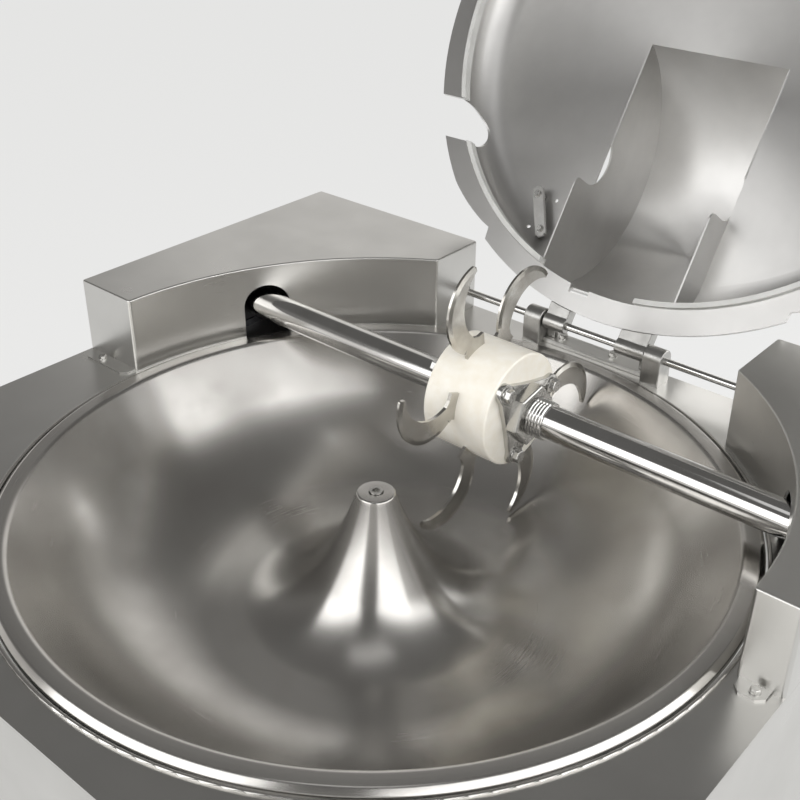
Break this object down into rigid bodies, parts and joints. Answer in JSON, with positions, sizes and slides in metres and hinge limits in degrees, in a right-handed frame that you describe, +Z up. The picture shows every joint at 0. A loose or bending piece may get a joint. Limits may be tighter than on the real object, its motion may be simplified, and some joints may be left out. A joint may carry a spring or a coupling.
{
  "type": "meat bowl cutter",
  "caption": "Floor-standing bowl cutter for meat: a turning trough bowl, sickle knives on a cross shaft between two housings, and a round hinged lid with a knife hood, shown open.",
  "frame": {"origin": "on the floor under the bowl's axis, at the centre of the feet's bolt holes", "axes": "+Z up along the bowl's axis, +X along the knife shaft to the operator's right, -Y towards the operator"},
  "size_m": [1.2135, 1.699, 1.8323],
  "materials": {
    "spun_steel": "spun and polished stainless steel",
    "sheet_steel": "fine brushed stainless sheet",
    "turned_steel": "turned stainless bar",
    "ground_shaft": "ground and polished stainless shaft",
    "blade_steel": "ground and polished knife steel",
    "hub_nylon": "machined white nylon",
    "cast_stainless": "bead-blasted stainless casting",
    "cast_iron": "machined grey iron",
    "bronze": "turned bronze bush",
    "bearing_steel": "ground bearing steel",
    "frame_paint": "grey primer on welded tube",
    "motor_paint": "semi-gloss motor enamel",
    "seal_rubber": "moulded black rubber",
    "belt_rubber": "cloth-backed rubber",
    "gasket_plastic": "light grey wiping lip",
    "bar_plastic": "machined white plastic",
    "bolt_steel": "plated bolts and screws",
    "panel_plastic": "textured dark panel",
    "green_plastic": "moulded green cap",
    "black_plastic": "moulded black cap",
    "red_plastic": "moulded red cap"
  },
  "bodies": {
    "cabinet": {"bearing_block_bolts": "bolt_steel", "bearing_outer_rings": "bearing_steel", "bowl_gearbox": "cast_iron", "bowl_motor": "motor_paint", "cabinet_body": "sheet_steel", "control_panel": "panel_plastic", "cover_screws": "bolt_steel", "deck_collar": "spun_steel", "deck_plate": "sheet_steel", "drive_belts": "belt_rubber", "hinge_base_plate": "sheet_steel", "hinge_plate_bolts": "bolt_steel", "housing_bolts": "bolt_steel", "knife_motor": "motor_paint", "left_bearing_block": "cast_iron", "left_hinge_bracket": "cast_stainless", "left_housing": "sheet_steel", "levelling_feet": "turned_steel", "machine_frame": "frame_paint", "motor_rails": "frame_paint", "rear_cover": "sheet_steel", "right_bearing_block": "cast_iron", "right_hinge_bracket": "cast_stainless", "right_housing": "sheet_steel", "shaft_seals": "seal_rubber", "side_cover": "sheet_steel", "spindle_bushes": "bronze", "spindle_sleeve": "cast_iron"},
    "bowl": {"bowl": "spun_steel", "bowl_cap_screw": "bolt_steel", "bowl_spindle": "turned_steel", "bowl_carrier": "cast_iron"},
    "knife": {"knife_shaft": "ground_shaft", "knife_hub": "hub_nylon", "clamp_flange": "turned_steel", "hub_bolts": "bolt_steel", "ring_nut": "turned_steel", "knife_pulley": "cast_iron", "bearing_inner_rings": "bearing_steel", "knife_blade_1": "blade_steel", "knife_blade_2": "blade_steel", "knife_blade_3": "blade_steel", "knife_blade_4": "blade_steel", "knife_blade_5": "blade_steel", "knife_blade_6": "blade_steel"},
    "motor_rotor": {"motor_pulley": "cast_iron"},
    "lid": {"lid_shell": "spun_steel", "lid_gasket": "gasket_plastic", "left_lid_partition": "sheet_steel", "right_lid_partition": "sheet_steel", "hinge_rod": "ground_shaft", "lid_hinge_lugs": "cast_stainless", "scraper_bar": "bar_plastic", "scraper_bolts": "bolt_steel", "lid_handle": "ground_shaft"},
    "knife_start": {"knife_start_button": "green_plastic"},
    "knife_stop": {"knife_stop_button": "red_plastic"},
    "bowl_start": {"bowl_start_button": "green_plastic"},
    "bowl_stop": {"bowl_stop_button": "red_plastic"},
    "emergency": {"emergency_stop": "red_plastic"}
  },
  "joints": [
    {"name": "bowl_turn", "type": "hinge", "parent": "cabinet", "child": "bowl", "pos_m": [0, 0, 0.95], "axis": [0, 0, 1], "continuous": true},
    {"name": "knife_spin", "type": "hinge", "parent": "cabinet", "child": "knife", "pos_m": [0, 0.2375, 0.994], "axis": [1, 0, 0], "continuous": true},
    {"name": "motor_spin", "type": "hinge", "parent": "cabinet", "child": "motor_rotor", "pos_m": [-0.5, 0.3, 0.33], "axis": [1, 0, 0], "continuous": true},
    {"name": "lid_hinge", "type": "hinge", "parent": "cabinet", "child": "lid", "pos_m": [0, 0.5225, 0.9807], "axis": [1, 0, 0], "range_deg": [0, 124]},
    {"name": "knife_start_press", "type": "slide", "parent": "cabinet", "child": "knife_start", "axis": [0, 1, 0], "range_m": [0, 0.004], "stiffness_N_per_m": 600},
    {"name": "knife_stop_press", "type": "slide", "parent": "cabinet", "child": "knife_stop", "axis": [0, 1, 0], "range_m": [0, 0.004], "stiffness_N_per_m": 600},
    {"name": "bowl_start_press", "type": "slide", "parent": "cabinet", "child": "bowl_start", "axis": [0, 1, 0], "range_m": [0, 0.004], "stiffness_N_per_m": 600},
    {"name": "bowl_stop_press", "type": "slide", "parent": "cabinet", "child": "bowl_stop", "axis": [0, 1, 0], "range_m": [0, 0.004], "stiffness_N_per_m": 600},
    {"name": "emergency_press", "type": "slide", "parent": "cabinet", "child": "emergency", "axis": [0, 1, 0], "range_m": [0, 0.004], "stiffness_N_per_m": 900}
  ],
  "couplings": [
    {"joint": "motor_spin", "follows": "knife_spin", "ratio": 0.625}
  ]
}
